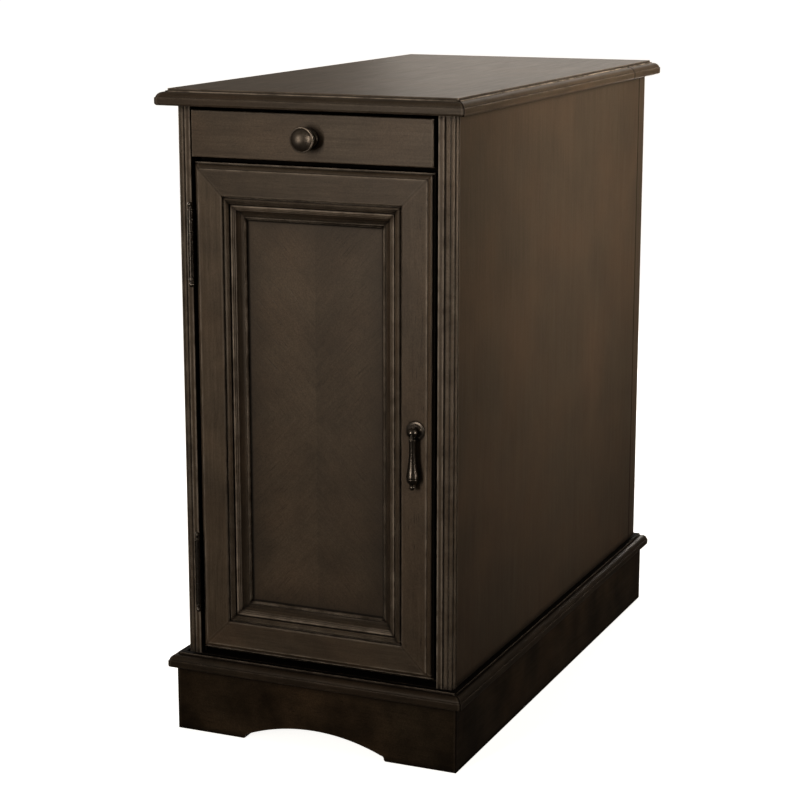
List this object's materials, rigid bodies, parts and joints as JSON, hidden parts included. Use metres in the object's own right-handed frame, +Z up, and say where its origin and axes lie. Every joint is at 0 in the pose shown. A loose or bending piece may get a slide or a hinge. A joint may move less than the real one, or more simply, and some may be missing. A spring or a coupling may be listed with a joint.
{
  "type": "side table with drawer and door",
  "caption": "Narrow side table cabinet with a shallow drawer over a hinged panelled door, reeded corner posts, moulded top and arched plinth.",
  "frame": {"origin": "middle of the bounding footprint on the floor, knob and rear moulding included", "axes": "+Z up, front with the drawer and door faces -Y, +X to the right seen from the front"},
  "size_m": [0.3, 0.591, 0.61],
  "materials": {
    "stained_wood": "dark grey-brown stain with a darker glaze, satin lacquer",
    "veneered_panel": "veneer, dark grey-brown stain, satin lacquer",
    "plain_wood": "plain hardwood, clear sealed",
    "thin_board": "thin stained board",
    "dark_bronze": "dark antique bronze, rubbed highlights",
    "steel": "plated steel",
    "catch_plastic": "brown moulded plastic"
  },
  "bodies": {
    "case": {"top_field_panel": "veneered_panel", "top_moulding_front": "stained_wood", "top_moulding_right": "stained_wood", "top_moulding_left": "stained_wood", "top_moulding_rear": "stained_wood", "top_moulding_returns": "stained_wood", "side_panel_right": "veneered_panel", "side_panel_left": "veneered_panel", "corner_post_right": "stained_wood", "corner_post_left": "stained_wood", "rear_stile_right": "stained_wood", "rear_stile_left": "stained_wood", "back_panel": "thin_board", "bottom_panel": "stained_wood", "bottom_rail_front": "stained_wood", "bottom_rail_rear": "plain_wood", "bottom_cleats": "plain_wood", "top_rail_front": "plain_wood", "top_rail_rear": "plain_wood", "drawer_rail": "stained_wood", "drawer_runners": "plain_wood", "shelf": "stained_wood", "shelf_pins": "steel", "base_moulding_front": "stained_wood", "base_moulding_right": "stained_wood", "base_moulding_rear": "stained_wood", "base_moulding_left": "stained_wood", "plinth_front": "stained_wood", "plinth_right": "stained_wood", "plinth_rear": "stained_wood", "plinth_left": "stained_wood", "plinth_corner_blocks": "plain_wood", "hinge_post_leaves": "dark_bronze", "hinge_pins": "dark_bronze", "hinge_post_screws": "steel", "door_catch": "catch_plastic", "case_screws": "steel"},
    "drawer": {"drawer_front": "stained_wood", "drawer_side_right": "plain_wood", "drawer_side_left": "plain_wood", "drawer_back": "plain_wood", "drawer_bottom": "thin_board", "drawer_stop": "plain_wood", "drawer_knob": "dark_bronze", "knob_screw": "steel"},
    "door": {"door_rail_bottom": "stained_wood", "door_stile_right": "stained_wood", "door_rail_top": "stained_wood", "door_stile_left": "stained_wood", "door_panel": "veneered_panel", "door_mouldings_long": "stained_wood", "door_mouldings_short": "stained_wood", "hinge_door_leaves": "dark_bronze", "hinge_door_screws": "steel", "pull_rosette": "dark_bronze", "pull_post": "dark_bronze", "pull_nut": "steel", "pull_cross_pin": "dark_bronze", "strike_plate": "steel"},
    "pull": {"pull_drop": "dark_bronze"}
  },
  "joints": [
    {"name": "drawer_slide", "type": "slide", "parent": "case", "child": "drawer", "axis": [0, -1, 0], "range_m": [0, 0.35]},
    {"name": "door_hinge", "type": "hinge", "parent": "case", "child": "door", "pos_m": [-0.1194, -0.2735, 0.31], "axis": [0, 0, -1], "range_deg": [0, 165]},
    {"name": "pull_swing", "type": "hinge", "parent": "door", "child": "pull", "pos_m": [0.1021, -0.2795, 0.31595], "axis": [-1, 0, 0], "range_deg": [0, 60]}
  ]
}
